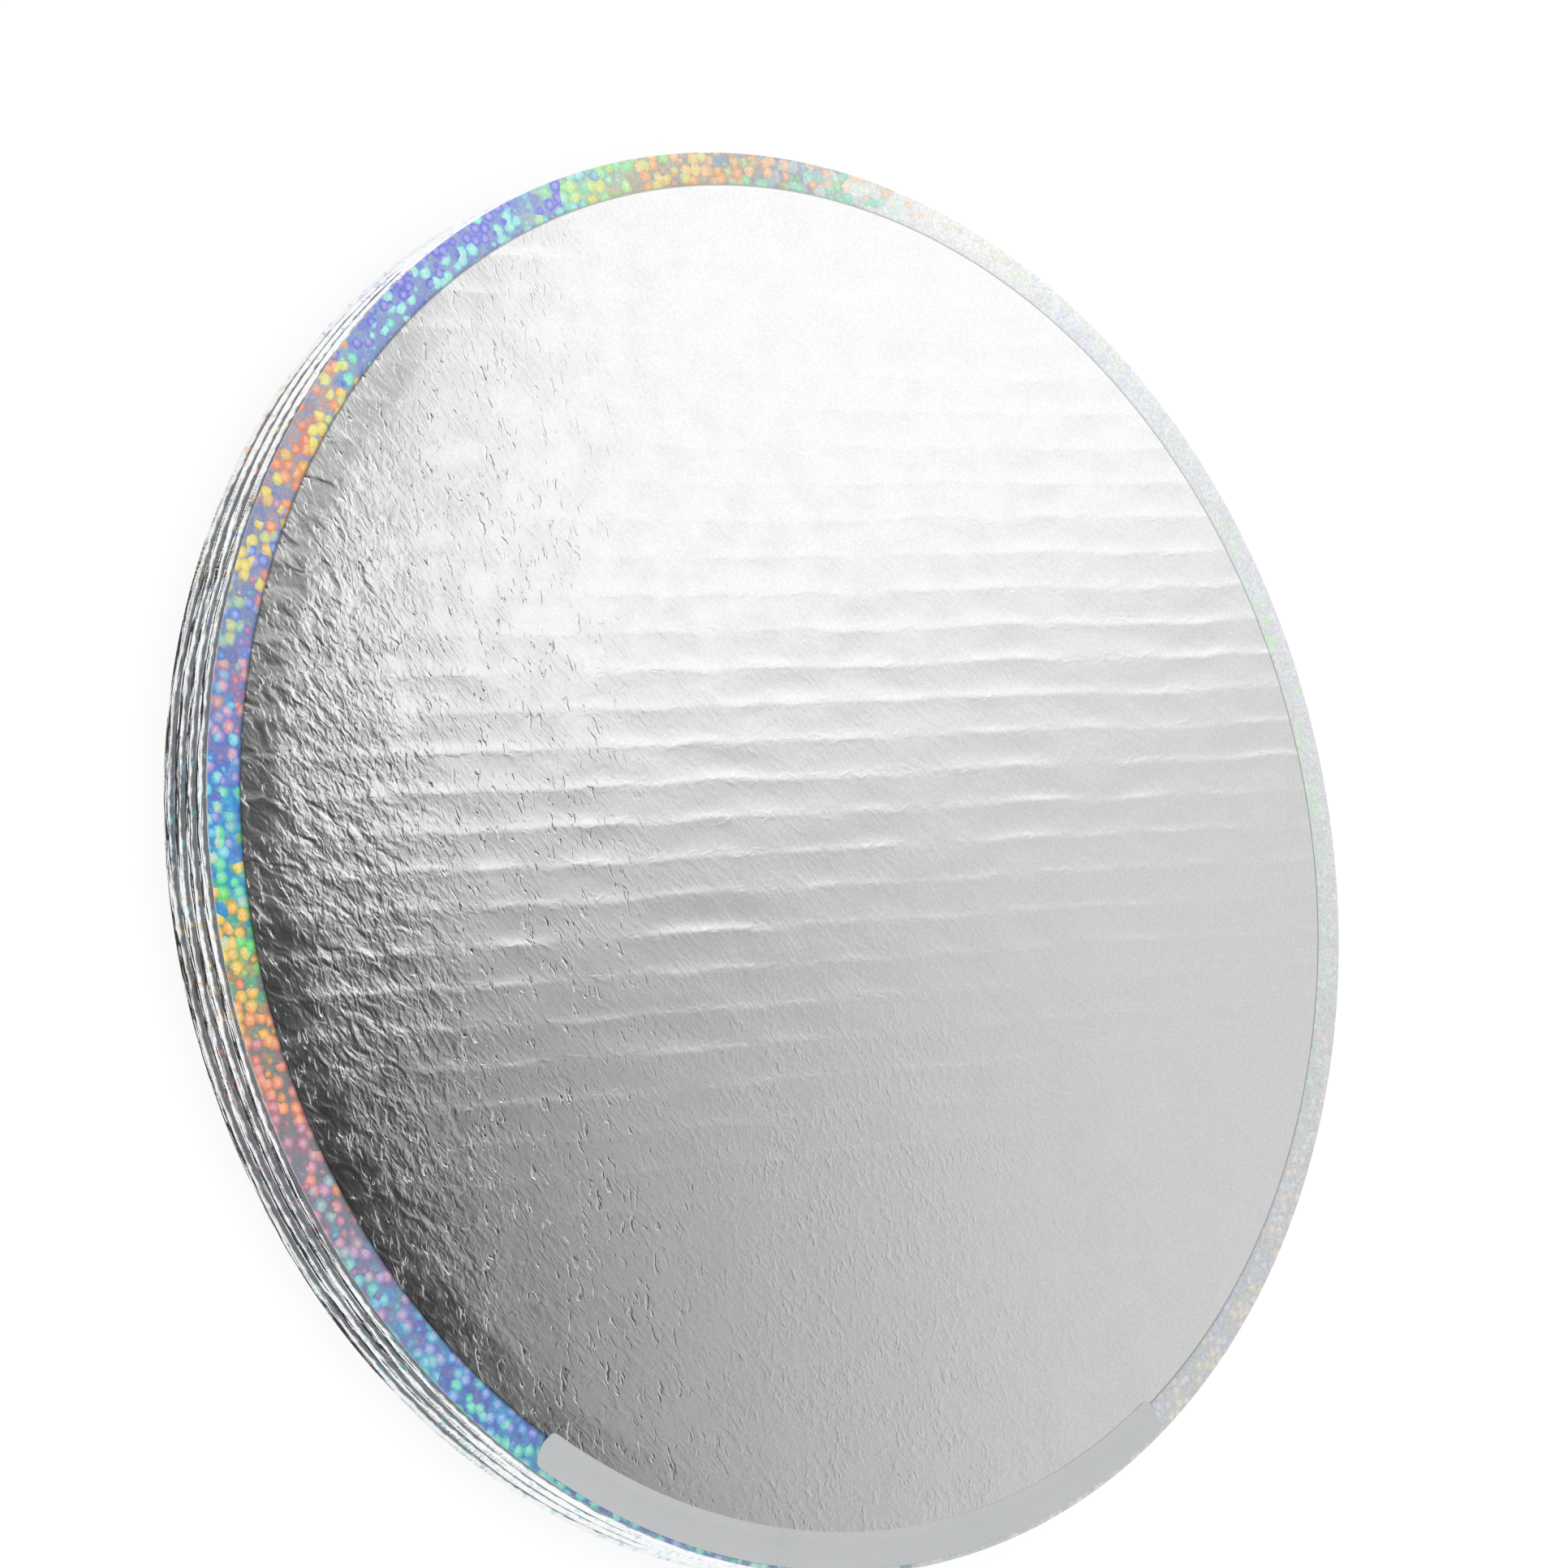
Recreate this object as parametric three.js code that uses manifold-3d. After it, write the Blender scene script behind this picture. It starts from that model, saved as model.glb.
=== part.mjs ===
// A round corrugated cake drum lying flat, in millimetres, +Z up, show side up.
// Four fluted sheets are glued in a stack, one foil sheet covers the back and the wall and is
// turned over on to the show side, and a rippled paper disc covers the turned-over edge.
// The flutes run along X. The origin is the centre of the underside.
import * as THREE from 'three';
import Module from 'manifold-3d';
import { mergeVertices } from 'three/addons/utils/BufferGeometryUtils.js';

const wasm = await Module();
wasm.setup();

// Whole board
const boardDiameter = 304.8;
const roundSegments = 72;

// Corrugated core
const sheetCount = 4;
const sheetThickness = 4.0;
const linerThickness = 0.35;
const mediumThickness = 0.3;
const flutePitch = 8.0;
const fluteCrestWidth = 1.6;
const coreClearance = 0.3;

// Foil covering
const foilThickness = 0.3;
const grooveDepth = 0.6;
const grooveSteps = 4;
const insideGrooveSteps = 2;
const footInset = 0.8;
const shoulderInset = 0.8;
const turnOver = 19.0;

// Paper disc
const foilRimWidth = 7.2;
const discThickness = 0.35;
const rippleHeight = 0.3;
const rippleSteps = 4;
const discSegments = 96;

// Sticker
const stickerThickness = 0.15;
const stickerOverDisc = 1.6;
const stickerEdgeMargin = 0.2;
const stickerStepClearance = 0.3;
const stickerStepWidth = 1.2;
const stickerStartAngle = THREE.MathUtils.degToRad(232);
const stickerEndAngle = THREE.MathUtils.degToRad(300);
const stickerCornerRadius = 2.0;
const stickerArcSteps = 14;
const stickerCornerSteps = 3;

// Heights and radii that follow from the sizes above
const outerRadius = boardDiameter / 2;
const coreBottom = foilThickness;
const coreTop = coreBottom + sheetCount * sheetThickness;
const ringTop = coreTop + foilThickness;
const ringOuterRadius = outerRadius - shoulderInset;
const sheetRadius = outerRadius - grooveDepth - foilThickness - coreClearance;
const turnOverInnerRadius = outerRadius - turnOver;
const discRadius = outerRadius - foilRimWidth;
const discCrest = ringTop + discThickness + rippleHeight;

// Corners closer than this are one corner
const cornerTolerance = 1e-5;

// Turns a closed geometry into a solid that can be cut, with its shared corners merged.
function solidOf(geometry) {
  const bare = geometry.index ? geometry.toNonIndexed() : geometry.clone();
  bare.deleteAttribute('normal');
  bare.deleteAttribute('uv');
  const merged = mergeVertices(bare, cornerTolerance);
  const vertProperties = new Float32Array(merged.attributes.position.array);
  const triVerts = new Uint32Array(merged.index.array);
  return new wasm.Manifold(new wasm.Mesh({ numProp: 3, vertProperties, triVerts }));
}

// Turns a cut solid back into a geometry.
function geometryOf(solid) {
  const mesh = solid.getMesh();
  const geometry = new THREE.BufferGeometry();
  geometry.setAttribute('position', new THREE.BufferAttribute(new Float32Array(mesh.vertProperties), 3));
  geometry.setIndex(new THREE.BufferAttribute(new Uint32Array(mesh.triVerts), 1));
  geometry.computeVertexNormals();
  return geometry;
}

// Spins a profile of [radius, height] points about the Z axis.
function turned(profile, segments) {
  const points = profile.map(([radius, height]) => new THREE.Vector2(radius, height));
  const geometry = new THREE.LatheGeometry(points, segments);
  geometry.rotateX(Math.PI / 2);
  return geometry;
}

// Extrudes a closed outline in the YZ plane along X, centred on the origin.
function extrudedAlongX(outline, length) {
  const shape = new THREE.Shape(outline.map(([y, z]) => new THREE.Vector2(y, z)));
  const geometry = new THREE.ExtrudeGeometry(shape, { depth: length, bevelEnabled: false, steps: 1 });
  geometry.translate(0, 0, -length / 2);
  const axes = new THREE.Matrix4().makeBasis(
    new THREE.Vector3(0, 1, 0), new THREE.Vector3(0, 0, 1), new THREE.Vector3(1, 0, 0));
  geometry.applyMatrix4(axes);
  return geometry;
}

// A round blank that a sheet or the disc is cut with.
function roundBlank(radius, bottom, top, segments) {
  return solidOf(turned([[0, bottom], [radius, bottom], [radius, top], [0, top]], segments));
}

// One channel of the fluting, a trapezoid that narrows to the crest of the medium it lies under.
// side is 1 for a channel that opens downwards on the lower liner and -1 for one below the upper.
function channelOutline(centre, bottom, side) {
  const low = bottom + linerThickness;
  const high = bottom + sheetThickness - linerThickness;
  const slopeWidth = (flutePitch - 2 * fluteCrestWidth) / 2;
  const slopeShift = mediumThickness * Math.hypot(slopeWidth, high - low) / (high - low) / 2;
  const wide = fluteCrestWidth / 2 + slopeWidth - slopeShift;
  const narrow = fluteCrestWidth / 2 - slopeShift + slopeWidth * mediumThickness / (high - low);
  const base = side > 0 ? low : high;
  const tip = side > 0 ? high - mediumThickness : low + mediumThickness;
  return [[centre - wide, base], [centre + wide, base], [centre + narrow, tip], [centre - narrow, tip]];
}

// A sheet of single-wall board: a liner, the fluted medium and a second liner in one piece,
// with the channels of the fluting running through it along X and open at the cut edge.
function coreSheet(index) {
  const bottom = coreBottom + index * sheetThickness;
  let sheet = roundBlank(sheetRadius, bottom, bottom + sheetThickness, roundSegments);
  const channelsEachWay = Math.floor((sheetRadius - flutePitch / 4) / (flutePitch / 2));
  const length = boardDiameter + 2 * flutePitch;
  for (let i = -channelsEachWay; i <= channelsEachWay; i += 1) {
    const centre = i * flutePitch / 2;
    const side = i % 2 === 0 ? 1 : -1;
    const outline = channelOutline(centre, bottom, side);
    const ordered = side > 0 ? outline : outline.reverse();
    sheet = sheet.subtract(solidOf(extrudedAlongX(ordered, length)));
  }
  return geometryOf(sheet);
}

// The wall's profile from the foot up: the foil stands out at the glued joints between sheets,
// where the liners meet, and sinks into a shallow groove over the fluting of each sheet.
// Each point is [radius, height], set back by inset from the outside of the foil.
function ridgedWall(inset, steps) {
  const wall = [[outerRadius - inset, coreBottom]];
  for (let step = 1; step <= sheetCount * steps; step += 1) {
    const along = (step % steps) / steps;
    const sink = 4 * along * (1 - along);
    const height = coreBottom + step / steps * sheetThickness;
    wall.push([outerRadius - grooveDepth * sink - inset, height]);
  }
  return wall;
}

// The foil sheet: it covers the back, runs up the ridged wall and is turned over on the show side.
function foilWrap() {
  const profile = [
    [0, 0],
    [outerRadius - footInset, 0],
    ...ridgedWall(0, grooveSteps),
    [ringOuterRadius, ringTop],
    [turnOverInnerRadius, ringTop],
    [turnOverInnerRadius, coreTop],
    ...ridgedWall(foilThickness, insideGrooveSteps).reverse(),
    [0, coreBottom],
  ];
  return turned(profile, roundSegments);
}

// The outline of the paper disc across the flutes: it dips between the flute crests.
function rippledOutline(halfWidth) {
  const stepLength = flutePitch / rippleSteps;
  const count = Math.ceil(halfWidth / stepLength);
  const top = [];
  for (let i = -count; i <= count; i += 1) {
    const y = i * stepLength;
    const dip = rippleHeight * (1 - Math.cos(2 * Math.PI * y / flutePitch)) / 2;
    top.push([y, discCrest - dip]);
  }
  const edge = count * stepLength;
  return [[-edge, ringTop], [edge, ringTop], ...top.reverse()];
}

// The paper disc that covers the turned-over edge of the foil.
function faceDisc() {
  const strip = solidOf(extrudedAlongX(rippledOutline(discRadius), 2 * outerRadius));
  const blank = roundBlank(discRadius, ringTop, discCrest + discThickness, discSegments);
  return geometryOf(strip.intersect(blank));
}

// The sticker seen from above: an arc-shaped strip with rounded corners.
function stickerPlan(inner, outer) {
  const shape = new THREE.Shape();
  const start = stickerStartAngle;
  const end = stickerEndAngle;
  const corner = stickerCornerRadius;
  const at = (radius, angle) => new THREE.Vector2(radius * Math.cos(angle), radius * Math.sin(angle));
  const arc = (radius, from, to) => {
    for (let i = 0; i <= stickerArcSteps; i += 1) {
      outline.push(at(radius, from + (to - from) * i / stickerArcSteps));
    }
  };
  const round = (before, tip, after) => {
    const curve = new THREE.QuadraticBezierCurve(before, tip, after);
    outline.push(...curve.getPoints(stickerCornerSteps).slice(1, -1));
  };
  const outline = [];
  arc(outer, start + corner / outer, end - corner / outer);
  round(at(outer, end - corner / outer), at(outer, end), at(outer - corner, end));
  outline.push(at(outer - corner, end), at(inner + corner, end));
  round(at(inner + corner, end), at(inner, end), at(inner, end - corner / inner));
  arc(inner, end - corner / inner, start + corner / inner);
  round(at(inner, start + corner / inner), at(inner, start), at(inner + corner, start));
  outline.push(at(inner + corner, start), at(outer - corner, start));
  round(at(outer - corner, start), at(outer, start), at(outer, start + corner / outer));
  shape.setFromPoints(outline);
  return shape;
}

// The sticker: a bare strip that laps over the edge of the disc and steps down on to the ring.
function sticker() {
  const inner = discRadius - stickerOverDisc;
  const outer = ringOuterRadius - stickerEdgeMargin;
  const stepTop = discRadius + stickerStepClearance;
  const stepFoot = stepTop + stickerStepWidth;
  const underside = [[inner, discCrest], [stepTop, discCrest], [stepFoot, ringTop], [outer, ringTop]];
  const lifted = underside.map(([radius, height]) => [radius, height + stickerThickness]);
  const draped = [...underside, ...lifted.reverse(), underside[0]];
  const depth = discCrest + stickerThickness;
  const plan = new THREE.ExtrudeGeometry(stickerPlan(inner, outer), { depth, bevelEnabled: false });
  return geometryOf(solidOf(turned(draped, discSegments)).intersect(solidOf(plan)));
}

function finish(color, roughness, metalness) {
  return new THREE.MeshStandardMaterial({ color, roughness, metalness });
}

const silverPaper = finish('#c4c6c8', 0.3, 1.0);
const holographicFoil = finish('#b4bcc8', 0.25, 1.0);
const brownBoard = finish('#b08d62', 0.9, 0.0);
const satinLabel = finish('#bfc1c2', 0.5, 0.0);

const board = new THREE.Group();

function addPiece(name, geometry, material) {
  const piece = new THREE.Mesh(geometry, material);
  piece.name = name;
  board.add(piece);
}

addPiece('foil_wrap', foilWrap(), holographicFoil);
for (let i = 0; i < sheetCount; i += 1) {
  addPiece(`core_sheet_${i + 1}`, coreSheet(i), brownBoard);
}
addPiece('face_disc', faceDisc(), silverPaper);
addPiece('sticker', sticker(), satinLabel);

export default board;
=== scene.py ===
"""A round foil-covered cake drum lying flat, seen as in the photograph, in Blender 4.5."""

import math

import bmesh
import bpy
from mathutils import Matrix, Vector, noise


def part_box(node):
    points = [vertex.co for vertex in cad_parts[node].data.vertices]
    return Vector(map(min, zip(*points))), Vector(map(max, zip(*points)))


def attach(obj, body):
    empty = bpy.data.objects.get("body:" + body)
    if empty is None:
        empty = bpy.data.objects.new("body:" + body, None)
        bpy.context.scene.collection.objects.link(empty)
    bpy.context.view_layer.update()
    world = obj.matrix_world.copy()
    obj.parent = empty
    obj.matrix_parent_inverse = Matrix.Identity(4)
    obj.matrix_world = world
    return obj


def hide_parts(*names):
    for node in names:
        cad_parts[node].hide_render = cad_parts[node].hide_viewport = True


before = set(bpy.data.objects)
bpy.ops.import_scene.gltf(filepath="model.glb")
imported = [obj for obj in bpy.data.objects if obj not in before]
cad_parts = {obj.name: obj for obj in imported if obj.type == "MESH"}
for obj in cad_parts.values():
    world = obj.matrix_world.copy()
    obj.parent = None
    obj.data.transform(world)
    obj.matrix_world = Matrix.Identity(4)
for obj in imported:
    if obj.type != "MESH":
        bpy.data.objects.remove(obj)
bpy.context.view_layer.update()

MM = 0.001

# Sizes of the board in millimetres, taken from the frame
foil_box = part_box("foil_wrap")
disc_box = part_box("face_disc")
sheet_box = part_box("core_sheet_1")
outer_radius = foil_box[1][0] / MM
ring_top = foil_box[1][2] / MM
disc_radius = disc_box[1][0] / MM
disc_crest = disc_box[1][2] / MM
sheet_thickness = (sheet_box[1][2] - sheet_box[0][2]) / MM
core_bottom = sheet_box[0][2] / MM
core_radius = sheet_box[1][0] / MM

# Sizes repeated from the board's construction, in millimetres
sheet_count = 4
core_top = core_bottom + sheet_count * sheet_thickness
flute_pitch = 8.0
turn_over = 19.0

# The silver paper's ripples over the flutes, in millimetres. They are faint at the bottom of the photograph.
ripple_depth = 0.03
ripple_drop = 0.17
ripples_faint_at = -95.0
ripples_grow_over = 60.0
faintest_ripple = 0.3
shallowest_patch = 0.1
fold_depth = 0.034
pressed_band = 8.5
pressed_depth = 0.125

# The foil on the wall, in millimetres
groove_depth = 0.8
shallowest_groove = 0.3
deepest_groove = 0.95
groove_roundness = 1.9
edge_round = 0.3
shoulder_height = 0.3
film_clearance = 0.1

# How soft material strays from its true shape. Each wave has its reach, the size of its lumps in millimetres,
# its layer of the noise, and how its lumps are squeezed across the flutes: above 1 shorter, below 1 longer.
TIP_WANDER = [(0.7, 45, 3.1, 1), (0.8, 14, 8.7, 1), (0.35, 5, 1.7, 1)]
RIPPLE_PATCHES = [(0.8, 30, 17.0, 1), (1.3, 14, 23.0, 1.5)]
LOOSE_FOLDS = [(0.014, 17, 41.0, 0.12), (0.02, 55, 47.0, 1)]
GROOVE_SWELL = [(0.25, 14, 31.0, 1), (0.15, 4, 61.0, 1)]
RIDGE_WAVER = [(0.5, 26, 7.0, 1), (0.3, 7, 9.0, 1)]
STICKER_WAVER = [(0.03, 9, 5.0, 1)]

# How many layers of the noise lie between one sheet or joint and the next
layers_between_sheets = 5
layers_between_joints = 3

# The sticker, in degrees and millimetres
sticker_start = 232
sticker_end = 300
sticker_over_disc = 1.6
sticker_margin = 1.0
sticker_corner = 2.0
sticker_thickness = 0.15
sticker_glue = 0.01
step_clearance = 0.2
step_width = 1.4

# The camera of the photograph, in degrees and millimetres
camera_azimuth = -80.965
camera_elevation = 50.676
camera_roll = 75.853
camera_distance = 1076.8
camera_lens = 116.52
camera_sensor = 36
aim_x = -7.9
aim_y = 14.7


def linear(hex_colour):
    """Turns an sRGB hex colour into Blender's linear red, green, blue and alpha."""
    parts = [int(hex_colour[i:i + 2], 16) / 255 for i in (1, 3, 5)]
    return [p / 12.92 if p <= 0.04045 else ((p + 0.055) / 1.055) ** 2.4 for p in parts] + [1.0]


def add_node(tree, kind, inputs=None, stops=None, **settings):
    """Adds a node, sets its properties, fills or links its inputs, and gives a ramp its stops.

    An input is a value, a socket or another node, which lends the first output that it has in use.
    """
    made = tree.nodes.new(kind)
    for name, value in settings.items():
        setattr(made, name, value)
    for name, value in (inputs or {}).items():
        if isinstance(value, bpy.types.Node):
            value = next(output for output in value.outputs if output.enabled)
        if isinstance(value, bpy.types.NodeSocket):
            tree.links.new(value, made.inputs[name])
        else:
            made.inputs[name].default_value = value
    for i, (position, colour) in enumerate(stops or []):
        element = made.color_ramp.elements[i] if i < 2 else made.color_ramp.elements.new(position)
        element.position = position
        element.color = colour
    return made


def start_material(name):
    """A new material with an empty tree and its output node."""
    material = bpy.data.materials.new(name)
    material.use_nodes = True
    material.node_tree.nodes.clear()
    return material, material.node_tree, add_node(material.node_tree, "ShaderNodeOutputMaterial")


def finish_piece(name, mesh, material, slot, *nodes):
    """Puts a mesh in the scene as a piece that rides with the board and stands for its solids."""
    mesh.materials.append(material)
    for polygon in mesh.polygons:
        polygon.use_smooth = True
    piece = bpy.data.objects.new(name, mesh)
    bpy.context.scene.collection.objects.link(piece)
    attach(piece, "root")
    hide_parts(*nodes)
    return piece


def wobble(x, y, layer, size):
    """Smooth noise from -1 to 1 whose lumps are about size millimetres across."""
    return noise.noise(Vector((x / size, y / size, layer / size)))


def stray(waves, x, y, layers_up=0):
    """How far soft material strays at a place, as the sum of its waves."""
    total = 0.0
    for reach, size, layer, squeeze in waves:
        total += reach * wobble(x, squeeze * y, layer + layers_up, size)
    return total


def closed_mesh(name, shape, sharpest):
    """Turns a closed shape into a mesh that looks smooth except where it turns by more than sharpest."""
    bmesh.ops.recalc_face_normals(shape, faces=shape.faces)
    for edge in shape.edges:
        edge.smooth = edge.calc_face_angle(0) < sharpest
    mesh = bpy.data.meshes.new(name)
    shape.to_mesh(mesh)
    shape.free()
    return mesh


# Shapes


def washboard(x, y):
    """How far the paper has sunk below the flute tips, in millimetres.

    It drops steeply just above a tip and comes back slowly, as paper does that was rolled on one way.
    Along its edge on the left the paper is pressed down harder.
    """
    along = ((y + stray(TIP_WANDER, x, y)) / flute_pitch) % 1.0
    grown = min(max((y - ripples_faint_at) / ripples_grow_over, faintest_ripple), 1.0)
    depth = ripple_depth * grown * max(shallowest_patch, 1 + stray(RIPPLE_PATCHES, x, y))
    ripple = depth * (1 - math.exp(-along / ripple_drop)) * (1 - along ** 2)
    folds = fold_depth + stray(LOOSE_FOLDS, x, y)
    to_edge = max(math.hypot(x, y) - disc_radius + pressed_band, 0.0) / pressed_band
    pressed = pressed_depth * to_edge * max(-x / disc_radius, 0.0)
    return ripple + folds + pressed


def disc_rows():
    """The rows of the disc's surface: even across the flutes, closer where the round rim turns."""
    row_step = 0.5
    even_to = 0.9 * disc_radius
    count = int(even_to / row_step)
    middle = [i * row_step for i in range(-count, count + 1)]
    first = math.asin(middle[-1] / disc_radius)
    turns = 48
    end = [disc_radius * math.sin(first + (math.pi / 2 - first) * i / turns) for i in range(1, turns + 1)]
    return [-y for y in reversed(end)] + middle + end


def face_disc_mesh():
    """The paper disc: a washboarded surface over the flutes, with its cut edge and its back."""
    columns = 140
    shape = bmesh.new()
    rows = []
    for y in disc_rows():
        half = math.sqrt(max(disc_radius ** 2 - y ** 2, 0.0))
        row = []
        for i in range(columns + 1):
            x = half * (2 * i / columns - 1)
            row.append(shape.verts.new((x * MM, y * MM, (disc_crest - washboard(x, y)) * MM)))
        rows.append(row)
    for low, high in zip(rows, rows[1:]):
        for i in range(columns):
            shape.faces.new((low[i], low[i + 1], high[i + 1], high[i]))

    # Each end row is one point, so its corners are joined
    same_point = 1e-6
    bmesh.ops.remove_doubles(shape, verts=shape.verts, dist=same_point)
    bmesh.ops.dissolve_degenerate(shape, dist=same_point, edges=shape.edges)

    # The cut edge goes straight down to the foil, and the back closes it
    rim = [edge for edge in shape.edges if edge.is_boundary]
    skirt = bmesh.ops.extrude_edge_only(shape, edges=rim)["geom"]
    for vert in (item for item in skirt if isinstance(item, bmesh.types.BMVert)):
        vert.co.z = ring_top * MM
    foot = [edge for edge in shape.edges if edge.is_boundary]
    bmesh.ops.edgeloop_fill(shape, edges=foot)
    return closed_mesh("face_disc_paper", shape, sharpest=0.6)


def ridge_waver(x, y, joint):
    """How far a ridge strays up or down from its glued joint, in millimetres. Foot and shoulder don't."""
    if joint in (0, sheet_count):
        return 0.0
    return stray(RIDGE_WAVER, x, y, layers_between_joints * joint)


def wall_profile(angle):
    """The outside of the wall from foot to shoulder at one angle, as [radius, height] points.

    The foil stands out where two sheets are glued and sinks in over the fluting of each sheet.
    The ridges waver a little on the way round, because the foil was drawn tight by hand.
    """
    steps = 12
    x = outer_radius * math.cos(angle)
    y = outer_radius * math.sin(angle)
    points = []
    for k in range(sheet_count):
        swell = 1 + stray(GROOVE_SWELL, x, y, layers_between_sheets * k)
        depth = min(max(groove_depth * swell, shallowest_groove), deepest_groove)
        for i in range(steps):
            along = i / steps
            sink = depth * (1 - abs(2 * along - 1) ** groove_roundness)
            waver = ridge_waver(x, y, k) * (1 - along) + ridge_waver(x, y, k + 1) * along
            height = core_bottom + (k + along) * sheet_thickness + waver
            points.append((outer_radius - sink, height))
    return points


def shoulder_profile():
    """The rounded edge between the wall and the rim, as [radius, height] points."""
    turn_steps = 6
    points = []
    for i in range(turn_steps + 1):
        turn = math.pi / 2 * i / turn_steps
        radius = outer_radius - edge_round * (1 - math.cos(turn))
        points.append((radius, ring_top - shoulder_height * (1 - math.sin(turn))))
    return points


def foil_profile(angle):
    """The whole closed section of the foil at one angle: back, wall, turned edge and inside."""
    rim_margin = 1.5
    foot = outer_radius - edge_round
    lip = outer_radius - turn_over
    back = [(foot * share, 0.0) for share in (0.5, 0.9, 1.0)]
    ring = [(radius, ring_top) for radius in (foot - rim_margin, disc_radius, lip)] + [(lip, core_top)]
    inside = [(core_radius + film_clearance, height) for height in (core_top, core_bottom)]
    return back + wall_profile(angle) + shoulder_profile() + ring + inside


def foil_wrap_mesh():
    """The foil sheet that covers the back and the wall and is turned over on the show side."""
    around = 900
    shape = bmesh.new()
    sections = []
    for i in range(around):
        angle = 2 * math.pi * i / around
        corners = [Vector((r * math.cos(angle), r * math.sin(angle), z)) for r, z in foil_profile(angle)]
        sections.append([shape.verts.new(corner * MM) for corner in corners])
    neighbours = list(zip(sections, sections[1:] + sections[:1]))
    for here, after in neighbours:
        for a, b, c, d in zip(here, here[1:], after[1:], after):
            shape.faces.new((a, d, c, b))

    # The back and the inside of it each close on one point in the middle
    for index in (0, -1):
        centre = shape.verts.new((0, 0, sections[0][index].co.z))
        for here, after in neighbours:
            shape.faces.new((here[index], after[index], centre))
    return closed_mesh("foil_wrap_film", shape, sharpest=0.7)


def sticker_height(radius, angle, lift):
    """The height of the sticker, which steps down from the disc to the ring, lift above its back."""
    step = min(max((radius - disc_radius - step_clearance) / step_width, 0.0), 1.0)
    fall = step * step * (3 - 2 * step)
    height = disc_crest + (ring_top - disc_crest) * fall + sticker_glue + lift
    if lift > 0:
        height += stray(STICKER_WAVER, radius * math.cos(angle), radius * math.sin(angle)) * fall
    return height


def sticker_rows(shape, lift):
    """The corners of one side of the sticker, in rows from its outer to its inner arc along its length."""
    along_steps = 260
    across_steps = 24
    start = math.radians(sticker_start)
    end = math.radians(sticker_end)
    inner = disc_radius - sticker_over_disc
    outer = outer_radius - sticker_margin
    rows = []
    for i in range(along_steps + 1):
        angle = start + (end - start) * i / along_steps
        to_end = min(angle - start, end - angle) * outer
        missing = sticker_corner - min(to_end, sticker_corner)
        inset = sticker_corner - math.sqrt(sticker_corner ** 2 - missing ** 2)
        row = []
        for j in range(across_steps + 1):
            radius = inner + inset + (outer - inner - 2 * inset) * j / across_steps
            place = (radius * math.cos(angle), radius * math.sin(angle), sticker_height(radius, angle, lift))
            row.append(shape.verts.new([part * MM for part in place]))
        rows.append(row)
    return rows


def sticker_mesh():
    """The sticker: an arc-shaped strip that laps over the disc's edge and steps down on to the ring."""
    shape = bmesh.new()
    layers = [sticker_rows(shape, lift) for lift in (0.0, sticker_thickness)]
    for rows in layers:
        for here, after in zip(rows, rows[1:]):
            for a, b, c, d in zip(here, here[1:], after[1:], after):
                shape.faces.new((a, b, c, d))
    edges = []
    for rows in layers:
        far_arc = [row[-1] for row in rows]
        near_arc = [row[0] for row in rows]
        edges.append(rows[0] + far_arc[1:] + rows[-1][::-1][1:] + near_arc[::-1][1:])
    low, high = edges
    for a, b, c, d in zip(low, low[1:], high[1:], high):
        shape.faces.new((a, b, c, d))
    return closed_mesh("sticker_paper", shape, sharpest=0.7)


# Materials


def millimetre_place(tree):
    """The place on the object in millimetres."""
    place = add_node(tree, "ShaderNodeTexCoord").outputs["Object"]
    return add_node(tree, "ShaderNodeVectorMath", {0: place, "Scale": 1 / MM}, operation="SCALE")


def from_middle(tree, place):
    """The distance from the middle of the board in millimetres, seen from above."""
    level = add_node(tree, "ShaderNodeVectorMath", {0: place, 1: (1.0, 1.0, 0.0)}, operation="MULTIPLY")
    return add_node(tree, "ShaderNodeVectorMath", {0: level}, operation="LENGTH")


# The creases in the silver paper. For each kind: the length, width and height of a crease in millimetres, the
# lie of its length in degrees from the flutes, and the part of its noise, from low to high, that shows. Each
# line after that fades it over the board: between two values of a measure, and from one strength to another.
PAPER_CREASES = {
    "streaks": (2.2, 1.3, 0.016, -64, 0.32, 0.75, [
        ("x", -80.0, -125.0, 0.06, 1.0),
        ("patches", 0.35, 0.6, 0.45, 1.0),
        ("radius", disc_radius - 13.0, disc_radius - 5.0, 1.0, 0.45),
    ]),
    "dashes": (3.2, 1.3, -0.034, -82, 0.62, 0.73, [
        ("x", -30.0, -95.0, 0.0, 1.0),
        ("patches", 0.35, 0.6, 0.0, 1.0),
    ]),
    "rain": (2.2, 1.3, 0.009, -86, 0.45, 0.75, [
        ("y", 0.0, -60.0, 0.1, 1.0),
        ("patches", 0.35, 0.6, 0.4, 1.0),
        ("x", 70.0, 15.0, 0.15, 1.0),
        ("x", -60.0, -15.0, 0.15, 1.0),
    ]),
    "twill": (4.0, 1.2, 0.004, -52, 0.4, 0.7, [
        ("patches", 0.3, 0.65, 0.2, 1.0),
    ]),
    "crests": (3.6, 1.8, 0.007, 6, 0.42, 0.75, [
        ("to_tip", 0.3, 0.0, 0.1, 1.0),
        ("patches", 0.6, 0.4, 0.3, 1.0),
    ]),
    "crumple": (6.0, 3.4, 0.03, -34, 0.2, 0.8, [
        ("x", -90.0, -125.0, 0.1, 1.0),
    ]),
}


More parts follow.
